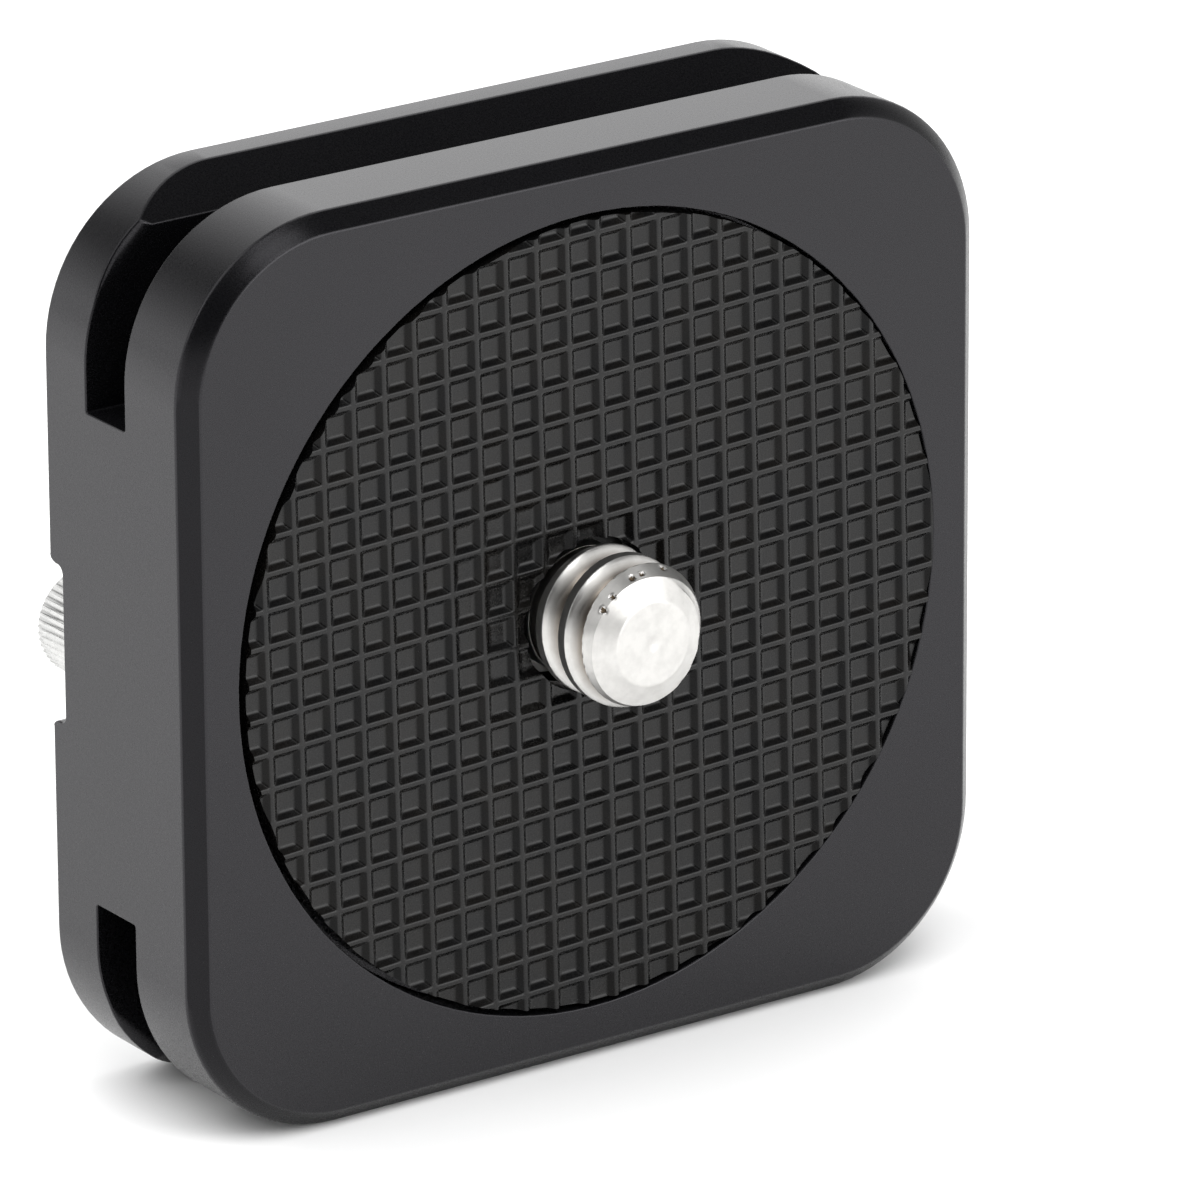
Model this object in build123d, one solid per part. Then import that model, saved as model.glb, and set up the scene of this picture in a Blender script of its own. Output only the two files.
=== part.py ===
"""Tripod quick release plate: a square dovetail plate with a rubber grip pad and a captive camera screw.

Frame, in millimetres: the plate stands on its lower dovetail edge as in the photograph, +Z up.
-Y is the face that the camera sits on, +Y the underside that goes into the clamp, X the dovetail's run.
The origin is at the middle of the assembly's footprint.
Depths are measured from the camera face towards the underside.
"""
import math
import os

from build123d import *

# Plate
WIDTH = 38.0
HEIGHT = 38.0
THICKNESS = 10.3
CORNER_RADIUS = 6.9
FACE_CHAMFER = 0.72
UNDERSIDE_CHAMFER = 0.25

# Dovetail rails, one along the upper and one along the lower edge
FLANGE_THICKNESS = 4.35
SLOT_WIDTH = 2.8
SLOT_DEPTH = 8.7
RIM_THICKNESS = 1.55
DOVETAIL_ANGLE = 45.0
LEAD_IN_REACH = 4.86
LEAD_IN_SLOPE = 24.0

# Rubber grip pad and its pocket
POCKET_DIAMETER = 33.4
POCKET_DEPTH = 1.5
PAD_GAP = 0.22
PAD_SHIFT_X = 0.16
PAD_SHIFT_Z = -0.03
PAD_PROUD = 0.1
PAD_HOLE_DIAMETER = 7.2

# Camera screw, 1/4 inch stud with a coned tip and a captive neck
STUD_DIAMETER = 6.1
STUD_REACH = 4.15
STUD_TIP_DIAMETER = 3.5
STUD_CONE_DIAMETER = 5.32
STUD_CONE_LENGTH = 0.42
STUD_LEAD_LENGTH = 0.7
THREAD_END_DEPTH = 0.0
NECK_DIAMETER = 5.4
SHANK_DIAMETER = 6.4
SHANK_CLEARANCE = 0.05
HEAD_DIAMETER = 10.0
HEAD_RECESS = 0.1
HEAD_CHAMFER = 0.4
COIN_SLOT_WIDTH = 1.6
COIN_SLOT_DEPTH = 1.2

# Retaining clip in the screw's groove, under the pad
CLIP_THICKNESS = 0.8
CLIP_BORE = 4.9
CLIP_DIAMETER = 9.4
CLIP_MOUTH = 4.2
CLIP_RELIEF = 0.9
CLIP_DEPTH = 1.95
GROOVE_DIAMETER = 4.8
GROOVE_PLAY = 0.05
CLIP_CAVITY_DIAMETER = 10.4

# Web between the clip's cavity and the underside's recesses
WEB_FRONT_DEPTH = 3.7
WEB_BACK_DEPTH = 5.7
HEAD_BORE_DIAMETER = 11.2
RING_RECESS_DIAMETER = 20.4
RING_RECESS_DEPTH = 7.95

# Folding ring handle
WIRE_DIAMETER = 1.6
WIRE_CLEARANCE = 0.04
RING_DEPTH = 8.95
BOW_RADIUS = 9.0
BOW_CORNER_RADIUS = 1.8
LEG_END = 1.3

# Finger channel across the underside, and the two stop screws that stand in it
CHANNEL_WIDTH = 6.6
CHANNEL_DEPTH = 1.1
CHANNEL_EDGE_RADIUS = 0.7
CHANNEL_FLOOR_RADIUS = 0.35
STOP_X = 16.6
STOP_THREAD_DIAMETER = 2.5
STOP_THREAD_LENGTH = 5.5
STOP_HOLE_CLEARANCE = 0.03
STOP_HOLE_DEPTH = 6.0
STOP_HEAD_DIAMETER = 4.5
STOP_HEAD_HEIGHT = 2.5
STOP_HEAD_CHAMFER = 0.3
STOP_SOCKET = 2.0
STOP_SOCKET_DEPTH = 1.2

# Places that follow from the sizes above
MID_Z = HEIGHT / 2
CHANNEL_FLOOR = THICKNESS - CHANNEL_DEPTH
STOP_TOP = CHANNEL_FLOOR + STOP_HEAD_HEIGHT
FACE_Y = (STUD_REACH - STOP_TOP) / 2
SLOT_BACK = FLANGE_THICKNESS + SLOT_WIDTH
RIM_EDGE = THICKNESS - RIM_THICKNESS
DOVETAIL_RISE = (RIM_EDGE - SLOT_BACK) * math.tan(math.radians(DOVETAIL_ANGLE))
PAD_RADIUS = POCKET_DIAMETER / 2 - PAD_GAP
HEAD_TOP = THICKNESS - HEAD_RECESS
PAST = 1.0


def face_plane(depth, x=0.0, z=MID_Z):
    """A plane parallel to the camera face: local x is X, local y is Z, the normal points at the camera."""
    return Plane(origin=(x, FACE_Y + depth, z), x_dir=(1, 0, 0), z_dir=(0, -1, 0))


def slab(sketch, front, back, x=0.0, z=MID_Z):
    """A sketch given thickness between two depths."""
    return extrude(face_plane(back, x, z) * sketch, back - front)


def disc(diameter, front, back, x=0.0, z=MID_Z):
    """A round solid between two depths."""
    return slab(Circle(diameter / 2), front, back, x, z)


def along_x(points):
    """A prism across the plate's whole width, from (depth, height) points."""
    outline = [(FACE_Y + depth, z) for depth, z in points]
    section = make_face(Polyline(*outline, close=True))
    return extrude(Plane.YZ * section, WIDTH / 2 + PAST, both=True)


def turned(points, x=0.0, z=MID_Z):
    """A solid of revolution about a line along Y, from (radius, depth) points."""
    outline = [(radius, FACE_Y + depth) for radius, depth in points]
    section = make_face(Polyline(*outline, close=True))
    axis = Axis((0, 0, 0), (0, 1, 0))
    return Pos(x, 0, z) * revolve(section, axis)


def dovetail_slot():
    """The slot behind the camera flange at the upper edge, its back wall leaning out to the rim."""
    floor = HEIGHT - SLOT_DEPTH
    foot = HEIGHT - DOVETAIL_RISE
    run_out = PAST / math.tan(math.radians(DOVETAIL_ANGLE))
    return along_x([
        (FLANGE_THICKNESS, HEIGHT + PAST),
        (FLANGE_THICKNESS, floor),
        (SLOT_BACK, floor),
        (SLOT_BACK, foot),
        (RIM_EDGE + run_out, HEIGHT + PAST),
    ])


def lead_in(side):
    """A shallow 45 degree cut across the slot's back wall, where an upper corner enters the clamp."""
    inset = LEAD_IN_REACH / 2
    outward = Vector(side, 0, 1).normalized()
    origin = Vector(side * (WIDTH / 2 - inset), FACE_Y + SLOT_BACK, HEIGHT - inset)
    plane = Plane(origin=origin, x_dir=outward, z_dir=outward.cross(Vector(0, 1, 0)))
    reach = LEAD_IN_REACH
    drop = reach * math.tan(math.radians(LEAD_IN_SLOPE))
    wedge = make_face(Polyline((0, 0), (reach, 0), (reach, drop), close=True))
    return extrude(plane * wedge, LEAD_IN_REACH, both=True)


def channel():
    """The finger channel: a flat floor with rolled-over edges, across the middle of the underside."""
    half = CHANNEL_WIDTH / 2
    flare = half + CHANNEL_EDGE_RADIUS
    depth = CHANNEL_DEPTH + PAST
    trough = Pos(depth / 2 - CHANNEL_DEPTH, 0) * Rectangle(depth, CHANNEL_WIDTH)
    floor_corners = trough.vertices().sort_by(Axis.X)[:2]
    trough = fillet(floor_corners, CHANNEL_FLOOR_RADIUS)
    lip_depth = CHANNEL_EDGE_RADIUS + PAST
    lips = Pos(lip_depth / 2 - CHANNEL_EDGE_RADIUS, 0) * Rectangle(lip_depth, 2 * flare)
    for side in (-1, 1):
        lips -= Pos(-CHANNEL_EDGE_RADIUS, side * flare) * Circle(CHANNEL_EDGE_RADIUS)
    across = Plane(origin=(0, FACE_Y + THICKNESS, MID_Z), x_dir=(0, 1, 0), z_dir=(1, 0, 0))
    return extrude(across * (trough + lips), WIDTH / 2 + PAST, both=True)


def make_plate():
    body = slab(RectangleRounded(WIDTH, HEIGHT, CORNER_RADIUS), 0, THICKNESS)
    body = chamfer(body.faces().sort_by(Axis.Y)[0].edges(), FACE_CHAMFER)
    body = chamfer(body.faces().sort_by(Axis.Y)[-1].edges(), UNDERSIDE_CHAMFER)

    rail_cuts = dovetail_slot() + [lead_in(-1), lead_in(1)]
    middle = Plane.XY.offset(MID_Z)
    body -= rail_cuts
    body -= rail_cuts.mirror(middle)

    body -= disc(POCKET_DIAMETER, -PAST, POCKET_DEPTH)
    body -= disc(CLIP_CAVITY_DIAMETER, 0, WEB_FRONT_DEPTH)
    body -= disc(SHANK_DIAMETER + 2 * SHANK_CLEARANCE, 0, THICKNESS)
    body -= disc(HEAD_BORE_DIAMETER, WEB_BACK_DEPTH, THICKNESS)
    body -= disc(RING_RECESS_DIAMETER, RING_RECESS_DEPTH, THICKNESS + PAST)
    body -= channel()

    tapped = STOP_THREAD_DIAMETER + 2 * STOP_HOLE_CLEARANCE
    for x in (-STOP_X, STOP_X):
        body -= disc(tapped, CHANNEL_FLOOR - STOP_HOLE_DEPTH, THICKNESS, x)
    return body


def make_grip_pad():
    """A soft disc a little off the middle of its pocket, to the height of the fine ridges moulded on it."""
    blank = disc(2 * PAD_RADIUS, -PAD_PROUD, POCKET_DEPTH, PAD_SHIFT_X, MID_Z + PAD_SHIFT_Z)
    return blank - disc(PAD_HOLE_DIAMETER, -PAST, POCKET_DEPTH + PAST)


def make_camera_screw():
    stud = STUD_DIAMETER / 2
    tip = STUD_TIP_DIAMETER / 2
    cone = STUD_CONE_DIAMETER / 2
    cone_start = -STUD_REACH + STUD_CONE_LENGTH
    neck = NECK_DIAMETER / 2
    groove = GROOVE_DIAMETER / 2
    shank = SHANK_DIAMETER / 2
    head = HEAD_DIAMETER / 2
    groove_front = CLIP_DEPTH - GROOVE_PLAY
    groove_back = CLIP_DEPTH + CLIP_THICKNESS + GROOVE_PLAY
    screw = turned([
        (0, -STUD_REACH),
        (tip, -STUD_REACH),
        (cone, cone_start),
        (stud, cone_start + STUD_LEAD_LENGTH),
        (stud, THREAD_END_DEPTH),
        (neck, THREAD_END_DEPTH + stud - neck),
        (neck, groove_front),
        (groove, groove_front),
        (groove, groove_back),
        (shank, groove_back),
        (shank, WEB_BACK_DEPTH),
        (head, WEB_BACK_DEPTH),
        (head, HEAD_TOP - HEAD_CHAMFER),
        (head - HEAD_CHAMFER, HEAD_TOP),
        (0, HEAD_TOP),
    ])
    across = Plane(origin=(0, FACE_Y + RING_DEPTH, MID_Z), x_dir=(0, 1, 0), z_dir=(1, 0, 0))
    screw -= extrude(across * Circle(WIRE_DIAMETER / 2 + WIRE_CLEARANCE), HEAD_DIAMETER, both=True)
    coin_slot = Rectangle(COIN_SLOT_WIDTH, HEAD_DIAMETER + PAST)
    return screw - slab(coin_slot, HEAD_TOP - COIN_SLOT_DEPTH, HEAD_TOP + PAST)


def make_retaining_clip():
    """A spring clip pushed sideways into the screw's groove, open downwards."""
    blank = Circle(CLIP_DIAMETER / 2) - Circle(CLIP_BORE / 2)
    mouth = Pos(0, -CLIP_DIAMETER / 2) * Rectangle(CLIP_MOUTH, CLIP_DIAMETER)
    reliefs = [Pos(side * CLIP_BORE / 2, CLIP_RELIEF) * Circle(CLIP_RELIEF) for side in (-1, 1)]
    return slab(blank - mouth - reliefs, CLIP_DEPTH, CLIP_DEPTH + CLIP_THICKNESS)


def make_d_ring():
    """A bent wire: two legs on the pivot line, small corners, and a bow that hangs down in the recess."""
    corner_x = math.sqrt((BOW_RADIUS - BOW_CORNER_RADIUS) ** 2 - BOW_CORNER_RADIUS ** 2)
    grow = BOW_RADIUS / (BOW_RADIUS - BOW_CORNER_RADIUS)
    meet = (corner_x * grow, -BOW_CORNER_RADIUS * grow)
    lean = (math.pi / 2 + math.asin(BOW_CORNER_RADIUS / (BOW_RADIUS - BOW_CORNER_RADIUS))) / 2
    corner_mid = (
        corner_x + BOW_CORNER_RADIUS * math.sin(lean),
        -BOW_CORNER_RADIUS + BOW_CORNER_RADIUS * math.cos(lean),
    )

    def flip(point):
        return (-point[0], point[1])

    leg_end = (LEG_END, 0)
    leg_turn = (corner_x, 0)
    line = Line(leg_end, leg_turn)
    line += ThreePointArc(leg_turn, corner_mid, meet)
    line += ThreePointArc(meet, (0, -BOW_RADIUS), flip(meet))
    line += ThreePointArc(flip(meet), flip(corner_mid), flip(leg_turn))
    line += Line(flip(leg_turn), flip(leg_end))
    path = Wire((face_plane(RING_DEPTH) * line).edges())
    start = Plane(origin=path @ 0, z_dir=path % 0)
    return sweep(start * Circle(WIRE_DIAMETER / 2), path=path)


def make_stop_screw(x):
    """A small socket head cap screw that stands in the finger channel and keeps the plate in its clamp."""
    thread = STOP_THREAD_DIAMETER / 2
    head = STOP_HEAD_DIAMETER / 2
    tip = CHANNEL_FLOOR - STOP_THREAD_LENGTH
    screw = turned([
        (0, tip),
        (thread - STOP_HEAD_CHAMFER, tip),
        (thread, tip + STOP_HEAD_CHAMFER),
        (thread, CHANNEL_FLOOR),
        (head, CHANNEL_FLOOR),
        (head, STOP_TOP - STOP_HEAD_CHAMFER),
        (head - STOP_HEAD_CHAMFER, STOP_TOP),
        (0, STOP_TOP),
    ], x)
    socket = RegularPolygon(STOP_SOCKET / 2, 6, major_radius=False)
    return screw - slab(socket, STOP_TOP - STOP_SOCKET_DEPTH, STOP_TOP + PAST, x)


def main():
    pieces = {
        "plate": make_plate(),
        "grip_pad": make_grip_pad(),
        "camera_screw": make_camera_screw(),
        "retaining_clip": make_retaining_clip(),
        "d_ring": make_d_ring(),
        "stop_screw_left": make_stop_screw(-STOP_X),
        "stop_screw_right": make_stop_screw(STOP_X),
    }
    os.makedirs("parts", exist_ok=True)
    for node, solid in pieces.items():
        export_step(solid, os.path.join("parts", f"{node}.step"))


if __name__ == "__main__":
    main()
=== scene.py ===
"""Looks for the tripod quick release plate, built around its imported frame. Lengths are in metres."""
import math

import bmesh
import bpy
from mathutils import Matrix, Vector


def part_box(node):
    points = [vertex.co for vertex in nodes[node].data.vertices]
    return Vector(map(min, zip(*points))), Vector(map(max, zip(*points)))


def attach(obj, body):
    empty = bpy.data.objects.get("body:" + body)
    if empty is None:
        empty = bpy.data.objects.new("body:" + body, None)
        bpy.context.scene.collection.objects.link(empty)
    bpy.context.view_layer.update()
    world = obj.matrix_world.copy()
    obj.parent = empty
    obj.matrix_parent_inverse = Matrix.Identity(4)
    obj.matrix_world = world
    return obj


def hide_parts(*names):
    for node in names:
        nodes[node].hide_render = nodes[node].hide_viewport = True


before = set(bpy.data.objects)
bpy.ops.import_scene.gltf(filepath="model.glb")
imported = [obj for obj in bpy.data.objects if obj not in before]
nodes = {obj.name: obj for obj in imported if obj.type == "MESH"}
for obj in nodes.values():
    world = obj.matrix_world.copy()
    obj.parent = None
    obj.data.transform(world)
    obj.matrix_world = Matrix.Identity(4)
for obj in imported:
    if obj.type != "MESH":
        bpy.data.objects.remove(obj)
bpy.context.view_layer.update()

MM = 0.001
TURN = 2 * math.pi

# Places that come from the frame
plate_low, plate_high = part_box("plate")
FACE_Y = plate_low.y
MID_Z = (plate_low.z + plate_high.z) / 2
TIP_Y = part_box("camera_screw")[0].y

# Camera, as the photograph's own: angles about the middle of the camera face
AZIMUTH = math.radians(-34.634)
ELEVATION = math.radians(20.193)
ROLL = math.radians(-0.331)
LENS = 343.28
SENSOR = 36
DISTANCE = 453.488 * MM
AIM_RIGHT = 0.268 * MM
AIM_UP = 0.576 * MM
NEAREST = 0.02
FARTHEST = 20

# Camera screw: its thread as the photograph shows it, and its coned tip just inside the frame's
THREAD_PITCH = 1.55 * MM
THREAD_CREST = 3.03 * MM
THREAD_ROOT = 2.45 * MM
CREST_SHARE = 0.28
ROOT_SHARE = 0.12
FLANK_STRAIGHTNESS = 0.6
THREAD_PHASE = -0.167 * MM
TIP_RADIUS = 1.74 * MM
CONE_RADIUS = 2.65 * MM
CONE_LENGTH = 0.42 * MM
LEAD_LENGTH = 0.7 * MM
NECK_RADIUS = 2.69 * MM
NECK_REACH = 1.2 * MM
THREAD_FADE = 0.3 * MM
THREAD_STEP = 0.03 * MM
THREAD_SIDES = 240
TIP_RING_SHARES = (0.96, 0.6, 0.25)
CENTRE_MARK = 0.25 * MM
CENTRE_MARK_BOTTOM = 0.05 * MM
CENTRE_MARK_DEPTH = 0.07 * MM

# Nicks where the thread starts: distance from the tip, angle about the axis, radius
NICKS = (
    (0.65 * MM, math.radians(102), 0.15 * MM),
    (0.66 * MM, math.radians(92), 0.12 * MM),
    (0.90 * MM, math.radians(68), 0.14 * MM),
    (0.52 * MM, math.radians(126), 0.13 * MM),
    (0.50 * MM, math.radians(140), 0.14 * MM),
)
NICK_DEPTH = 0.13 * MM
# Share of a nick's size, about its middle, that gets painted shade
NICK_SHADED_SHARE = 0.75

# Grip pad: the net of moulded ridges that the photograph shows, with its rounds
COLUMN_PITCH = 1.457 * MM
COLUMN_PHASE = 0.610 * MM
COLUMN_TURN = math.radians(1.28)
ROW_PITCH = 1.487 * MM
ROW_PHASE = 1.043 * MM
ROW_TURN = math.radians(2.08)
RIDGE_TOP = 0.05 * MM
RIDGE_HEIGHT = 0.27 * MM
RIDGE_SLOPE = math.radians(48)
RIDGE_ROUND = 0.14 * MM
RIDGE_ROUND_STEPS = 3
FOOT_ROUND = 0.28 * MM
FOOT_ROUND_STEPS = 4
PIT_FLOOR_BORDER = 0.02 * MM
PIT_CORNER = 0.10 * MM
PIT_CORNER_LIMIT = 0.4
PIT_CORNER_STEPS = (0.0, 0.33, 0.67, 1.0)
PAD_HOLE_RADIUS = 3.2 * MM
PAD_SIDES = 240
PAD_CREASE = math.radians(40)
CUT_PAST = 1 * MM

# Stop screws
KNURL_COUNT = 48
KNURL_DEPTH = 0.07 * MM
KNURL_SHARPNESS = 0.7
KNURL_START = 0.15 * MM
KNURL_RUN_OUT = 0.05 * MM
POINTS_PER_TOOTH = 6
SOCKET_ACROSS_FLATS = 2.0 * MM
SOCKET_DEPTH = 1.2 * MM
SOCKET_CHAMFER = 0.08 * MM
STOP_CHAMFER = 0.3 * MM
STOP_THREAD_RADIUS = 1.25 * MM
STOP_HEAD_HEIGHT = 2.5 * MM

# Broken edges and mesh cleaning
PLATE_EDGE = 0.08 * MM
STEEL_EDGE = 0.05 * MM
EDGE_SEGMENTS = 2
EDGE_ANGLE = math.radians(28)
FLAT_ANGLE = math.radians(0.4)
TURNED_CREASE = math.radians(35)
WELD_DISTANCE = 0.0005 * MM
SLIVER_LENGTH = 0.0002 * MM

# Textures: the values that most of a noise lies between, and the depth of every fine grain
NOISE_BODY = (0.3, 0.7)
NOISE_ROUGHNESS = 0.55
GRAIN_DEPTH = 0.006 * MM

# A face's slant is the share of its normal along the screw's axis: below this range the face is steep.
# Slanting faces get painted shade: their reflection is turned down to darken them
STEEP_END = (0.58, 0.66)

# Black anodising
ANODISED_COLOURS = ((0.0018, 0.0018, 0.0022), (0.003, 0.003, 0.0034))
ANODISED_CLOUD = 6 * MM
ANODISED_GRAIN = 0.08 * MM
ANODISED_GRAIN_STRENGTH = 0.35
ANODISED_ROUGHNESS = (0.24, 0.32)
ANODISED_SLANT_END = (0.76, 0.84)
ANODISED_GLOSS = 0.43
# Reflection left on slanting faces: painted shade
ANODISED_SLANT_SHADED_GLOSS = 0.2
ANODISED_SHEEN = (0.96, 0.94, 1.0)
ANODISED_IOR = 1.5

# Rubber
RUBBER_COLOURS = ((0.0025, 0.0025, 0.0027), (0.0042, 0.0037, 0.0033))
RUBBER_PATCH = 1.6 * MM
RUBBER_PATCH_BODY = (0.35, 0.65)
RUBBER_SKIN = 0.14 * MM
RUBBER_SKIN_STRENGTH = 0.15
RUBBER_ROUGHNESS = (0.23, 0.32)
RUBBER_SLANT_END = (0.82, 0.96)
RUBBER_GLOSS = 0.36
# Reflection left on the slanting ridge walls: painted shade
RUBBER_SLANT_SHADED_GLOSS = 0.14

# Steels, each a colour and a roughness, with turning marks and faint stains
SCREW_STEEL = ((0.64, 0.63, 0.61), 0.36)
# Dark brown painted shade for the nicks' bottoms
NICK_SHADE_STEEL = ((0.13, 0.10, 0.07), 0.5)
WIRE_STEEL = ((0.78, 0.78, 0.78), 0.2)
SPRING_STEEL = ((0.05, 0.05, 0.05), 0.4)
STOP_STEEL = ((0.60, 0.60, 0.59), 0.28)
TURNING_MARK = 0.06 * MM
TURNING_MARK_STRENGTH = 0.25
TURNING_ROUGHNESS = 0.06
STAIN = 0.5 * MM
STAIN_BODY = (0.35, 0.6)
STAIN_SHADE = 0.9

# Painted shade in the thread's grooves, brown and darkest at the roots: the radii where it is thickest and
# where it ends, and where it comes in
GROOVE_SHADE_COLOUR = (0.17, 0.14, 0.11)
GROOVE_SHADE_COVER = 0.9
GROOVE_SHADE_RADII = (THREAD_ROOT + 0.05 * MM, THREAD_CREST - 0.15 * MM)
GROOVE_SHADE_START = (TIP_Y + 0.85 * MM, TIP_Y + 1.05 * MM)

# Stage
FLOOR_HALF = 3.0
FLOOR_WHITE = 0.9
FLOOR_ROUGHNESS = 0.9
FLOOR_GLOSS = 0.1
PLATE_PLACE = (0, 0, 0.02)


def link(obj):
    bpy.context.scene.collection.objects.link(obj)
    return obj


# Materials

def new_material(name):
    """A new material, its node tree and its principled shader."""
    material = bpy.data.materials.new(name)
    material.use_nodes = True
    tree = material.node_tree
    return material, tree, tree.nodes["Principled BSDF"]


def object_coordinates(tree):
    return tree.nodes.new("ShaderNodeTexCoord").outputs["Object"]


def noise(tree, coordinates, size, detail):
    """Noise whose features are about as large as size."""
    node = tree.nodes.new("ShaderNodeTexNoise")
    node.inputs["Scale"].default_value = 1 / size
    node.inputs["Detail"].default_value = detail
    node.inputs["Roughness"].default_value = NOISE_ROUGHNESS
    tree.links.new(coordinates, node.inputs["Vector"])
    return node.outputs["Fac"]


def ramp(tree, value, source, target):
    """A value carried from one range to another."""
    node = tree.nodes.new("ShaderNodeMapRange")
    node.inputs["From Min"].default_value = source[0]
    node.inputs["From Max"].default_value = source[1]
    node.inputs["To Min"].default_value = target[0]
    node.inputs["To Max"].default_value = target[1]
    tree.links.new(value, node.inputs["Value"])
    return node.outputs["Result"]


def tint(tree, value, dark, light):
    """A colour between two, by a value from 0 to 1."""
    node = tree.nodes.new("ShaderNodeMix")
    node.data_type = "RGBA"
    node.inputs["A"].default_value = (*dark, 1)
    node.inputs["B"].default_value = (*light, 1)
    tree.links.new(value, node.inputs["Factor"])
    return node.outputs["Result"]


def combine(tree, operation, first, second):
    node = tree.nodes.new("ShaderNodeMath")
    node.operation = operation
    tree.links.new(first, node.inputs[0])
    tree.links.new(second, node.inputs[1])
    return node.outputs["Value"]


def bump(tree, height, strength):
    node = tree.nodes.new("ShaderNodeBump")
    node.inputs["Strength"].default_value = strength
    node.inputs["Distance"].default_value = GRAIN_DEPTH
    tree.links.new(height, node.inputs["Height"])
    return node.outputs["Normal"]


def painted_shade_on_slants(tree, end):
    """A mask for painted shade: 1 on faces that slant by about 45 degrees, 0 on the steep ones and on those
    past the end.
    """
    split = tree.nodes.new("ShaderNodeSeparateXYZ")
    tree.links.new(tree.nodes.new("ShaderNodeTexCoord").outputs["Normal"], split.inputs["Vector"])
    facing = tree.nodes.new("ShaderNodeMath")
    facing.operation = "ABSOLUTE"
    tree.links.new(split.outputs["Y"], facing.inputs[0])
    steep = ramp(tree, facing.outputs["Value"], STEEP_END, (0, 1))
    shallow = ramp(tree, facing.outputs["Value"], end, (1, 0))
    return combine(tree, "MULTIPLY", steep, shallow)


def anodised_aluminium():
    """Black anodising over a blasted surface: almost no colour of its own, a satin sheen and a fine grain.
    The slanting faces reflect less: painted shade that darkens them."""
    material, tree, shader = new_material("anodised_aluminium")
    place = object_coordinates(tree)
    grain = noise(tree, place, ANODISED_GRAIN, detail=2.0)
    colour = tint(tree, noise(tree, place, ANODISED_CLOUD, detail=3.0), *ANODISED_COLOURS)
    roughness = ramp(tree, grain, NOISE_BODY, ANODISED_ROUGHNESS)
    # Painted shade: the reflection is turned down on slanting faces
    slant_shade = painted_shade_on_slants(tree, ANODISED_SLANT_END)
    gloss_with_slant_shade = ramp(tree, slant_shade, (0, 1), (ANODISED_GLOSS, ANODISED_SLANT_SHADED_GLOSS))
    tree.links.new(colour, shader.inputs["Base Color"])
    tree.links.new(roughness, shader.inputs["Roughness"])
    tree.links.new(bump(tree, grain, ANODISED_GRAIN_STRENGTH), shader.inputs["Normal"])
    tree.links.new(gloss_with_slant_shade, shader.inputs["Specular IOR Level"])
    shader.inputs["Specular Tint"].default_value = (*ANODISED_SHEEN, 1)
    shader.inputs["IOR"].default_value = ANODISED_IOR
    return material


def rubber():
    """Moulded rubber: nearly black, with a dull sheen, each patch a little different in tone. The slanting
    ridge walls carry painted shade: their reflection is turned down.
    """
    material, tree, shader = new_material("rubber")
    place = object_coordinates(tree)
    patch = ramp(tree, noise(tree, place, RUBBER_PATCH, detail=1.0), RUBBER_PATCH_BODY, (0, 1))
    skin = noise(tree, place, RUBBER_SKIN, detail=3.0)
    # Painted shade: the reflection is turned down on the slanting ridge walls
    slant_shade = painted_shade_on_slants(tree, RUBBER_SLANT_END)
    gloss_with_slant_shade = ramp(tree, slant_shade, (0, 1), (RUBBER_GLOSS, RUBBER_SLANT_SHADED_GLOSS))
    tree.links.new(tint(tree, patch, *RUBBER_COLOURS), shader.inputs["Base Color"])
    tree.links.new(ramp(tree, skin, NOISE_BODY, RUBBER_ROUGHNESS), shader.inputs["Roughness"])
    tree.links.new(bump(tree, skin, RUBBER_SKIN_STRENGTH), shader.inputs["Normal"])
    tree.links.new(gloss_with_slant_shade, shader.inputs["Specular IOR Level"])
    return material


def turning_coordinates(tree, place, axis_x):
    """Distance from a screw's axis, which runs along Y, and the place along it."""
    centre = tree.nodes.new("ShaderNodeVectorMath")
    centre.operation = "SUBTRACT"
    centre.inputs[1].default_value = (axis_x, 0, MID_Z)
    tree.links.new(place, centre.inputs[0])
    split = tree.nodes.new("ShaderNodeSeparateXYZ")
    tree.links.new(centre.outputs["Vector"], split.inputs["Vector"])
    flat = tree.nodes.new("ShaderNodeCombineXYZ")
    tree.links.new(split.outputs["X"], flat.inputs["X"])
    tree.links.new(split.outputs["Z"], flat.inputs["Z"])
    radius = tree.nodes.new("ShaderNodeVectorMath")
    radius.operation = "LENGTH"
    tree.links.new(flat.outputs["Vector"], radius.inputs[0])
    return radius.outputs["Value"], split.outputs["Y"]


def painted_groove_shade(tree, colour, radius, along):
    """A steel's colour with painted shade in the thread's grooves, brown and darkest at the roots."""
    depth = ramp(tree, radius, GROOVE_SHADE_RADII, (GROOVE_SHADE_COVER, 0))
    start = ramp(tree, along, GROOVE_SHADE_START, (0, 1))
    shade_mix = tree.nodes.new("ShaderNodeMix")
    shade_mix.data_type = "RGBA"
    shade_mix.inputs["B"].default_value = (*GROOVE_SHADE_COLOUR, 1)
    tree.links.new(combine(tree, "MULTIPLY", depth, start), shade_mix.inputs["Factor"])
    tree.links.new(colour, shade_mix.inputs["A"])
    return shade_mix.outputs["Result"]


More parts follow.
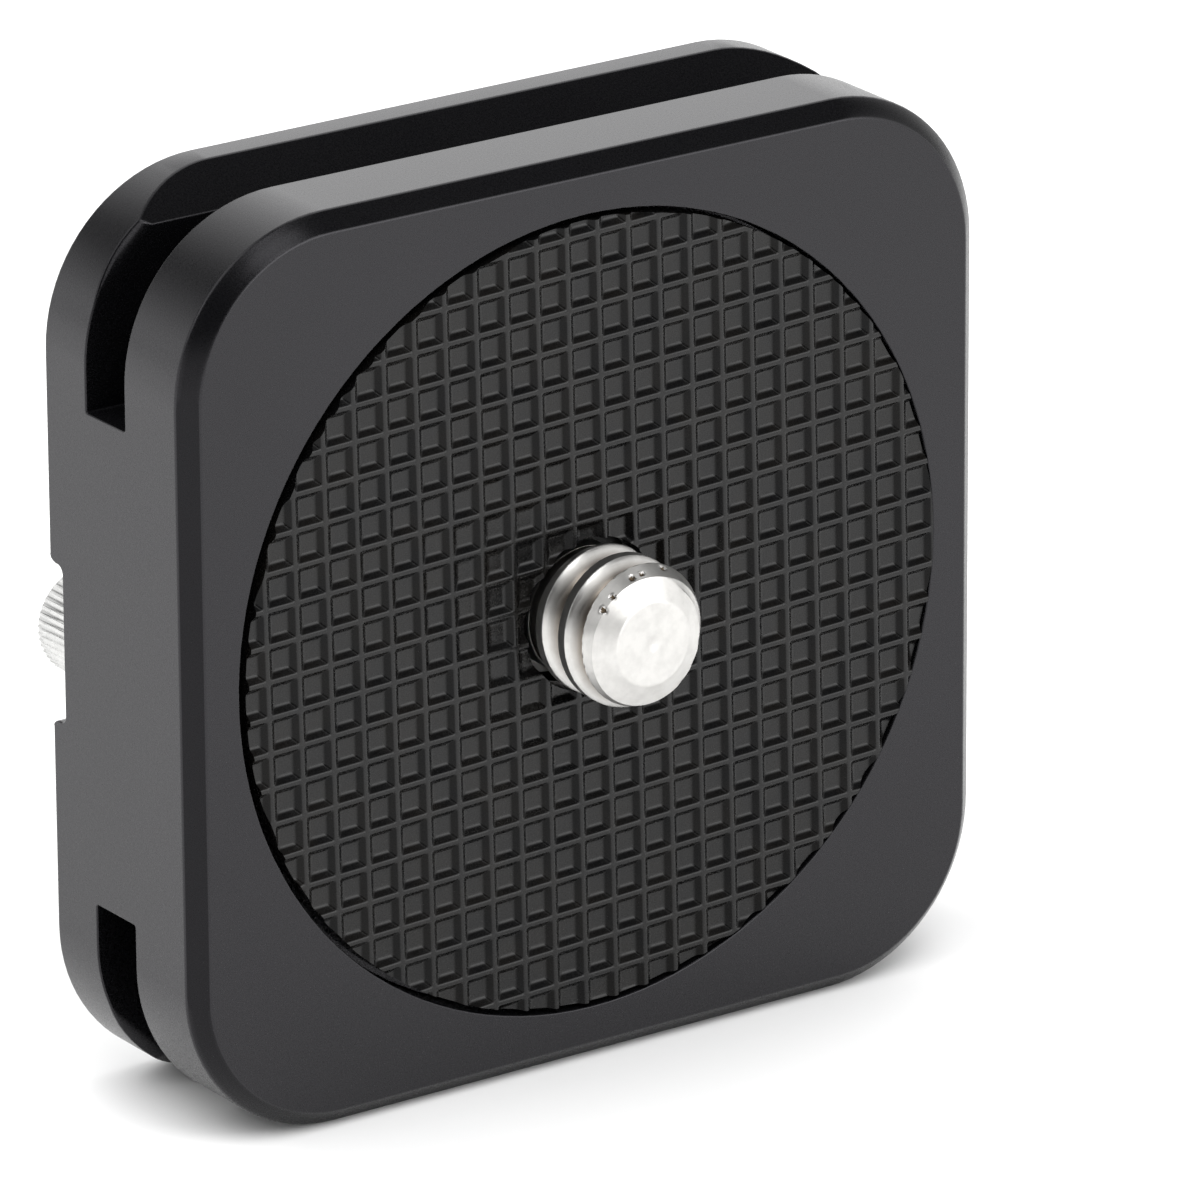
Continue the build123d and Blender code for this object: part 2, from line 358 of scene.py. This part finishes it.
def turned_steel(name, steel, axis_x=0.0, groove_shaded=False):
    """Bright steel with turning marks: fine rings about an axis along Y."""
    base, rough = steel
    material, tree, shader = new_material(name)
    place = object_coordinates(tree)
    radius, along = turning_coordinates(tree, place, axis_x)
    ring = tree.nodes.new("ShaderNodeCombineXYZ")
    tree.links.new(radius, ring.inputs["X"])
    tree.links.new(along, ring.inputs["Y"])
    marks = noise(tree, ring.outputs["Vector"], TURNING_MARK, detail=2.0)
    stain = ramp(tree, noise(tree, place, STAIN, detail=3.0), STAIN_BODY, (0, 1))
    colour = tint(tree, stain, [STAIN_SHADE * channel for channel in base], base)
    # Painted shade in the thread's grooves
    if groove_shaded:
        colour = painted_groove_shade(tree, colour, radius, along)
    roughness = ramp(tree, marks, NOISE_BODY, (rough - TURNING_ROUGHNESS, rough + TURNING_ROUGHNESS))
    tree.links.new(colour, shader.inputs["Base Color"])
    tree.links.new(roughness, shader.inputs["Roughness"])
    tree.links.new(bump(tree, marks, TURNING_MARK_STRENGTH), shader.inputs["Normal"])
    shader.inputs["Metallic"].default_value = 1.0
    return material


aluminium = anodised_aluminium()
rubber_skin = rubber()
screw_steel = turned_steel("screw_steel", SCREW_STEEL)
thread_steel = turned_steel("thread_steel", SCREW_STEEL, groove_shaded=True)
# Steel painted dark brown for the shade in the nicks
shaded_nick_steel = turned_steel("shaded_nick_steel", NICK_SHADE_STEEL)
wire_steel = turned_steel("wire_steel", WIRE_STEEL)
spring_steel = turned_steel("spring_steel", SPRING_STEEL)


def dress(obj, material):
    """One material all over."""
    obj.data.materials.clear()
    obj.data.materials.append(material)


def break_edges(obj, width, clamp=True):
    """Small rounds on a solid's edges, with the faces between them kept flat."""
    weld = obj.modifiers.new("weld", "WELD")
    weld.merge_threshold = WELD_DISTANCE
    merge = obj.modifiers.new("merge_flat_faces", "DECIMATE")
    merge.decimate_type = "DISSOLVE"
    merge.angle_limit = FLAT_ANGLE
    bevel = obj.modifiers.new("edges", "BEVEL")
    bevel.width = width
    bevel.segments = EDGE_SEGMENTS
    bevel.limit_method = "ANGLE"
    bevel.angle_limit = EDGE_ANGLE
    bevel.miter_outer = "MITER_ARC"
    bevel.use_clamp_overlap = clamp
    normals = obj.modifiers.new("normals", "WEIGHTED_NORMAL")
    normals.keep_sharp = False
    normals.weight = 100


# Meshes

def on_circle(radius, angle, y, x=0.0, z=MID_Z):
    """A point on a circle about an axis along Y, by default the camera screw's."""
    return (x + radius * math.cos(angle), y, z + radius * math.sin(angle))


def band_faces(first, second, count):
    """The faces between two rings of points, given by the numbers of their first points."""
    faces = []
    for i in range(count):
        j = (i + 1) % count
        faces.append((first + i, first + j, second + j, second + i))
    return faces


def turned_piece(name, rings, material):
    """A skin through rings of points, all with the same number of points, closed at both ends."""
    count = len(rings[0])
    last = (len(rings) - 1) * count
    points = [point for ring in rings for point in ring]
    faces = []
    for start in range(0, last, count):
        faces += band_faces(start, start + count, count)
    faces.append(tuple(reversed(range(count))))
    faces.append(tuple(range(last, last + count)))
    mesh = bpy.data.meshes.new(name)
    mesh.from_pydata(points, [], faces)
    mesh.validate()
    mesh.shade_smooth()
    mesh.set_sharp_from_angle(angle=TURNED_CREASE)
    piece = link(bpy.data.objects.new(name, mesh))
    dress(piece, material)
    return piece


def thread_radius(angle, reach):
    """Radius of the threaded stud at an angle about its axis and a reach out of the camera face."""
    turn = ((reach - THREAD_PHASE) / THREAD_PITCH - angle / TURN) % 1.0
    away = abs(turn - 0.5)
    slope = (away - ROOT_SHARE / 2) / (0.5 - ROOT_SHARE / 2 - CREST_SHARE / 2)
    slope = min(1.0, max(0.0, slope))
    rise = slope * slope * (3 - 2 * slope)
    flank = FLANK_STRAIGHTNESS * slope + (1 - FLANK_STRAIGHTNESS) * rise
    radius = THREAD_ROOT + (THREAD_CREST - THREAD_ROOT) * flank
    from_tip = FACE_Y - TIP_Y - reach
    if from_tip < CONE_LENGTH:
        radius = min(radius, TIP_RADIUS + (CONE_RADIUS - TIP_RADIUS) * from_tip / CONE_LENGTH)
    elif from_tip < CONE_LENGTH + LEAD_LENGTH:
        share = (from_tip - CONE_LENGTH) / LEAD_LENGTH
        radius = min(radius, CONE_RADIUS + (THREAD_CREST - CONE_RADIUS) * share)
    for nick_place, nick_angle, size in NICKS:
        away = math.hypot(from_tip - nick_place, radius * (angle - nick_angle)) / size
        radius -= NICK_DEPTH * max(0.0, 1 - away * away)
    blend = min(1.0, max(0.0, reach / THREAD_FADE))
    return NECK_RADIUS + (radius - NECK_RADIUS) * blend


def shade_nicks(piece):
    """The nicks' bottoms get a material of their own: dark brown painted shade."""
    piece.data.materials.append(shaded_nick_steel)
    for face in piece.data.polygons:
        centre = face.center - Vector((0, TIP_Y, MID_Z))
        angle = math.atan2(centre.z, centre.x)
        out = math.hypot(centre.x, centre.z)
        for nick_place, nick_angle, size in NICKS:
            away = math.hypot(centre.y - nick_place, out * (angle - nick_angle))
            if away < NICK_SHADED_SHARE * size:
                face.material_index = 1


def make_thread():
    """The screw's threaded stud, from its neck under the pad to its coned tip with a centre mark."""
    tip_reach = FACE_Y - TIP_Y
    steps = round((tip_reach + NECK_REACH) / THREAD_STEP)
    angles = [TURN * i / THREAD_SIDES for i in range(THREAD_SIDES)]
    rings = []
    for step in range(steps + 1):
        reach = -NECK_REACH + (tip_reach + NECK_REACH) * step / steps
        rings.append([on_circle(thread_radius(a, reach), a, FACE_Y - reach) for a in angles])
    for share in TIP_RING_SHARES:
        rings.append([on_circle(share * TIP_RADIUS, a, TIP_Y) for a in angles])
    rings.append([on_circle(CENTRE_MARK, a, TIP_Y) for a in angles])
    rings.append([on_circle(CENTRE_MARK_BOTTOM, a, TIP_Y + CENTRE_MARK_DEPTH) for a in angles])
    piece = turned_piece("screw_thread", rings, thread_steel)
    shade_nicks(piece)
    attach(piece, "screw")


def make_head():
    """The screw's head, shank and neck: the frame's own form, without the plain stud."""
    mesh = nodes["camera_screw"].data.copy()
    mesh.name = "screw_head"
    work = bmesh.new()
    work.from_mesh(mesh)
    bmesh.ops.remove_doubles(work, verts=work.verts, dist=WELD_DISTANCE)
    everything = work.verts[:] + work.edges[:] + work.faces[:]
    cut = Vector((0, FACE_Y + NECK_REACH / 2, MID_Z))
    outward = (0, -1, 0)
    result = bmesh.ops.bisect_plane(work, geom=everything, plane_co=cut, plane_no=outward, clear_outer=True)
    rim = [item for item in result["geom_cut"] if isinstance(item, bmesh.types.BMEdge)]
    bmesh.ops.holes_fill(work, edges=rim)
    work.to_mesh(mesh)
    work.free()
    piece = link(bpy.data.objects.new("screw_head", mesh))
    dress(piece, screw_steel)
    break_edges(piece, STEEL_EDGE)
    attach(piece, "screw")
    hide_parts("camera_screw")


def corner_points(edges, inset, corner):
    """The outline inside lines that meet in turn, each a (normal, limit), drawn in, with round corners."""
    lines = [(normal, limit - inset) for normal, limit in edges]
    corners = []
    for i, (normal, limit) in enumerate(lines):
        other, reach = lines[i - 1]
        cross = other.x * normal.y - other.y * normal.x
        x = (reach * normal.y - limit * other.y) / cross
        y = (limit * other.x - reach * normal.x) / cross
        corners.append(Vector((x, y)))
    points = []
    for i, here in enumerate(corners):
        back = corners[i - 1] - here
        ahead = corners[(i + 1) % len(corners)] - here
        cut = min(corner, PIT_CORNER_LIMIT * back.length, PIT_CORNER_LIMIT * ahead.length)
        start = here + back.normalized() * cut
        end = here + ahead.normalized() * cut
        for t in PIT_CORNER_STEPS:
            points.append(start.lerp(here, t).lerp(here.lerp(end, t), t))
    return points


def ridge_side():
    """(half width, depth) down one side of a ridge: a round, a sloping wall and a hollow at the foot."""
    points = []
    for step in range(RIDGE_ROUND_STEPS + 1):
        tilt = RIDGE_SLOPE * step / RIDGE_ROUND_STEPS
        points.append((RIDGE_TOP / 2 + RIDGE_ROUND * math.sin(tilt), RIDGE_ROUND * (1 - math.cos(tilt))))
    wall_half, wall_depth = points[-1]
    foot = RIDGE_HEIGHT - FOOT_ROUND * (1 - math.cos(RIDGE_SLOPE))
    start = wall_half + (foot - wall_depth) / math.tan(RIDGE_SLOPE)
    for step in range(FOOT_ROUND_STEPS + 1):
        tilt = RIDGE_SLOPE * (1 - step / FOOT_ROUND_STEPS)
        half = start + FOOT_ROUND * (math.sin(RIDGE_SLOPE) - math.sin(tilt))
        points.append((half, RIDGE_HEIGHT - FOOT_ROUND * (1 - math.cos(tilt))))
    points.append((points[-1][0] + PIT_FLOOR_BORDER, RIDGE_HEIGHT))
    return points


def ridge_field(low, high, radius):
    """A closed block with rows and columns of ridges and pits on its front, larger than the pad."""
    side = ridge_side()
    across = Vector((math.cos(COLUMN_TURN), math.sin(COLUMN_TURN)))
    upward = Vector((-math.sin(ROW_TURN), math.cos(ROW_TURN)))
    count = math.ceil(radius / COLUMN_PITCH) + 1
    work = bmesh.new()

    def ring_of(edges, inset, corner, depth):
        outline = corner_points(edges, inset, corner)
        return [work.verts.new((p.x, low.y + depth, MID_Z + p.y)) for p in outline]

    for i in range(-count, count):
        for j in range(-count, count):
            left = COLUMN_PHASE + i * COLUMN_PITCH
            right = COLUMN_PHASE + (i + 1) * COLUMN_PITCH
            lower = ROW_PHASE + j * ROW_PITCH
            upper = ROW_PHASE + (j + 1) * ROW_PITCH
            edges = [(across, right), (upward, upper), (-across, -left), (-upward, -lower)]
            rings = [ring_of(edges, 0, 0, 0)]
            rings += [ring_of(edges, inset, PIT_CORNER, depth) for inset, depth in side]
            size = len(rings[0])
            for outer, inner in zip(rings, rings[1:]):
                for k in range(size):
                    after = (k + 1) % size
                    work.faces.new((outer[k], outer[after], inner[after], inner[k]))
            work.faces.new(rings[-1])

    bmesh.ops.remove_doubles(work, verts=work.verts, dist=WELD_DISTANCE)
    bmesh.ops.dissolve_degenerate(work, edges=work.edges, dist=SLIVER_LENGTH)
    rim = [edge for edge in work.edges if edge.is_boundary]
    walls = bmesh.ops.extrude_edge_only(work, edges=rim)["geom"]
    for item in walls:
        if isinstance(item, bmesh.types.BMVert):
            item.co.y = high.y
    bmesh.ops.holes_fill(work, edges=[edge for edge in work.edges if edge.is_boundary])
    bmesh.ops.recalc_face_normals(work, faces=work.faces)
    field = bpy.data.meshes.new("ridge_field")
    work.to_mesh(field)
    work.free()
    return field


def pad_outline(low, high, radius):
    """A thick tube: the pad's rim and the hole for the screw, both reaching past its front and back."""
    middle = (low + high) / 2
    front = low.y - CUT_PAST
    back = high.y + CUT_PAST
    angles = [TURN * k / PAD_SIDES for k in range(PAD_SIDES)]
    points = [on_circle(radius, a, front, middle.x, middle.z) for a in angles]
    points += [on_circle(radius, a, back, middle.x, middle.z) for a in angles]
    points += [on_circle(PAD_HOLE_RADIUS, a, back) for a in angles]
    points += [on_circle(PAD_HOLE_RADIUS, a, front) for a in angles]
    faces = []
    for start in range(0, len(points), PAD_SIDES):
        faces += band_faces(start, (start + PAD_SIDES) % len(points), PAD_SIDES)
    tube = bpy.data.meshes.new("pad_outline")
    tube.from_pydata(points, [], faces)
    work = bmesh.new()
    work.from_mesh(tube)
    bmesh.ops.recalc_face_normals(work, faces=work.faces)
    work.to_mesh(tube)
    work.free()
    return tube


def make_pad():
    """The grip pad: rows and columns of ridges with pits between, cut round, with a hole for the screw."""
    low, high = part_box("grip_pad")
    radius = (high.x - low.x) / 2
    whole = link(bpy.data.objects.new("ridge_field", ridge_field(low, high, radius)))
    cutter = link(bpy.data.objects.new("pad_outline", pad_outline(low, high, radius)))
    cut = whole.modifiers.new("cut", "BOOLEAN")
    cut.operation = "INTERSECT"
    cut.solver = "EXACT"
    cut.object = cutter
    bpy.context.view_layer.update()
    mesh = bpy.data.meshes.new_from_object(whole.evaluated_get(bpy.context.evaluated_depsgraph_get()))
    mesh.name = "grip_pad_ridges"
    bpy.data.objects.remove(whole)
    bpy.data.objects.remove(cutter)
    mesh.shade_smooth()
    mesh.set_sharp_from_angle(angle=PAD_CREASE)
    piece = link(bpy.data.objects.new("grip_pad_ridges", mesh))
    dress(piece, rubber_skin)
    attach(piece, "plate")
    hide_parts("grip_pad")


def make_stop_screw(node):
    """A socket head screw with a straight knurl round its head."""
    low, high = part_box(node)
    centre_x = (low.x + high.x) / 2
    head = (high.x - low.x) / 2
    under_knurl = head - KNURL_DEPTH
    floor_y = high.y - STOP_HEAD_HEIGHT
    knurl_y = floor_y + KNURL_START
    chamfer_y = high.y - STOP_CHAMFER
    sides = KNURL_COUNT * POINTS_PER_TOOTH
    angles = [TURN * i / sides for i in range(sides)]

    def ring(y, radius_at):
        return [on_circle(radius_at(a), a, y, centre_x) for a in angles]

    def plain(radius):
        return lambda angle: radius

    def knurled(angle):
        tooth = (angle / TURN * KNURL_COUNT) % 1.0
        return head - KNURL_DEPTH * (0.5 + 0.5 * math.cos(TURN * tooth)) ** KNURL_SHARPNESS

    def hexagon(angle):
        from_flat = (angle + math.pi / 6) % (math.pi / 3) - math.pi / 6
        return SOCKET_ACROSS_FLATS / 2 / math.cos(from_flat)

    rings = [
        ring(low.y, plain(STOP_THREAD_RADIUS - STOP_CHAMFER)),
        ring(low.y + STOP_CHAMFER, plain(STOP_THREAD_RADIUS)),
        ring(floor_y, plain(STOP_THREAD_RADIUS)),
        ring(floor_y, plain(under_knurl)),
        ring(knurl_y, plain(under_knurl)),
        ring(knurl_y + KNURL_RUN_OUT, knurled),
        ring(chamfer_y - KNURL_RUN_OUT, knurled),
        ring(chamfer_y, plain(under_knurl)),
        ring(high.y, plain(head - STOP_CHAMFER)),
        ring(high.y, lambda angle: hexagon(angle) + SOCKET_CHAMFER),
        ring(high.y - SOCKET_CHAMFER, hexagon),
        ring(high.y - SOCKET_DEPTH, hexagon),
    ]
    piece = turned_piece(f"{node}_knurled", rings, turned_steel(node, STOP_STEEL, centre_x))
    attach(piece, "plate")
    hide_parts(node)


dress(nodes["plate"], aluminium)
break_edges(nodes["plate"], PLATE_EDGE, clamp=False)
dress(nodes["retaining_clip"], spring_steel)
break_edges(nodes["retaining_clip"], STEEL_EDGE)
dress(nodes["d_ring"], wire_steel)
make_pad()
make_thread()
make_head()
make_stop_screw("stop_screw_left")
make_stop_screw("stop_screw_right")


# Stage: a white floor, a studio of soft glows, and soft lights

def make_floor():
    half = FLOOR_HALF
    corners = [(-half, -half, 0), (half, -half, 0), (half, half, 0), (-half, half, 0)]
    mesh = bpy.data.meshes.new("floor")
    mesh.from_pydata(corners, [], [(0, 1, 2, 3)])
    floor = link(bpy.data.objects.new("floor", mesh))
    material, _, shader = new_material("floor")
    shader.inputs["Base Color"].default_value = (FLOOR_WHITE, FLOOR_WHITE, FLOOR_WHITE, 1)
    shader.inputs["Roughness"].default_value = FLOOR_ROUGHNESS
    shader.inputs["Specular IOR Level"].default_value = FLOOR_GLOSS
    dress(floor, material)


def lobe(tree, direction, centre, edge, core, level):
    """A patch of light about a direction: nothing beyond the edge angle, full level inside the core angle."""
    toward = tree.nodes.new("ShaderNodeVectorMath")
    toward.operation = "DOT_PRODUCT"
    toward.inputs[1].default_value = Vector(centre).normalized()
    tree.links.new(direction, toward.inputs[0])
    angles = (math.cos(math.radians(edge)), math.cos(math.radians(core)))
    return ramp(tree, toward.outputs["Value"], angles, (0.0, level))


def low_glow(tree, height, end, full, level, along, span):
    """Light low down on one side: nothing above the end angle, full level below the full angle."""
    angles = (math.sin(math.radians(end)), math.sin(math.radians(full)))
    low = ramp(tree, height, angles, (0.0, level))
    return combine(tree, "MULTIPLY", low, ramp(tree, along, span, (0.0, 1.0)))


def make_world():
    """A studio by direction: white low down behind and at the left, soft glows behind, above and in front."""
    world = bpy.data.worlds.new("studio")
    bpy.context.scene.world = world
    world.use_nodes = True
    tree = world.node_tree
    background = tree.nodes["Background"]
    direction = tree.nodes.new("ShaderNodeTexCoord").outputs["Generated"]
    split = tree.nodes.new("ShaderNodeSeparateXYZ")
    tree.links.new(direction, split.inputs["Vector"])
    x, y, z = split.outputs
    parts = [
        low_glow(tree, z, end=30, full=8, level=1.5, along=y, span=(0.0, 0.35)),
        low_glow(tree, z, end=15, full=6, level=1.4, along=x, span=(-0.35, -0.65)),
        lobe(tree, direction, centre=(0.62, 0.70, 0.35), edge=56, core=14, level=1.78),
        lobe(tree, direction, centre=(-0.45, 0.25, 0.86), edge=32, core=16, level=1.4),
        lobe(tree, direction, centre=(0.35, -0.90, 0.24), edge=28, core=14, level=3.6),
        lobe(tree, direction, centre=(0.8, -0.58, 0.12), edge=40, core=20, level=1.3),
        lobe(tree, direction, centre=(0.45, 0.3, 0.84), edge=25, core=10, level=1.6),
    ]
    brightest = parts[0]
    for part in parts[1:]:
        brightest = combine(tree, "MAXIMUM", brightest, part)
    background.inputs["Color"].default_value = (1, 1, 1, 1)
    tree.links.new(brightest, background.inputs["Strength"])


def make_light(name, place, aim, size, power, seen_in_gloss=False):
    data = bpy.data.lights.new(name, "AREA")
    data.shape = "DISK"
    data.size = size
    data.energy = power
    light = link(bpy.data.objects.new(name, data))
    light.location = place
    light.rotation_euler = (Vector(aim) - Vector(place)).to_track_quat("-Z", "Y").to_euler()
    light.visible_glossy = seen_in_gloss


def make_lights():
    make_light(
        "softbox_front", place=(0.0, -0.42, 0.70), aim=PLATE_PLACE, size=0.42, power=1.9, seen_in_gloss=True,
    )
    make_light(
        "softbox_left", place=(-0.60, 0.06, 0.37), aim=PLATE_PLACE, size=0.36, power=0.5, seen_in_gloss=True,
    )
    make_light("overhead", place=(-0.2, -0.3, 1.0), aim=(0, 0, 0), size=1.2, power=8.2)
    make_light("fill_back", place=(-0.35, 0.45, 0.5), aim=(-0.08, 0.08, 0), size=0.5, power=2.0)


def make_camera():
    back = Vector((
        math.sin(AZIMUTH) * math.cos(ELEVATION),
        -math.cos(AZIMUTH) * math.cos(ELEVATION),
        math.sin(ELEVATION),
    ))
    level = Vector((math.cos(AZIMUTH), math.sin(AZIMUTH), 0))
    upright = back.cross(level)
    right = level * math.cos(ROLL) + upright * math.sin(ROLL)
    up = upright * math.cos(ROLL) - level * math.sin(ROLL)
    place = Vector((0, FACE_Y, MID_Z)) + back * DISTANCE + right * AIM_RIGHT + up * AIM_UP
    data = bpy.data.cameras.new("camera")
    data.lens = LENS
    data.sensor_width = SENSOR
    data.clip_start = NEAREST
    data.clip_end = FARTHEST
    camera = link(bpy.data.objects.new("camera", data))
    turn = Matrix((right, up, back)).transposed().to_4x4()
    camera.matrix_world = Matrix.Translation(place) @ turn
    bpy.context.scene.camera = camera


make_floor()
make_world()
make_lights()
make_camera()
bpy.context.scene.view_settings.view_transform = "Standard"
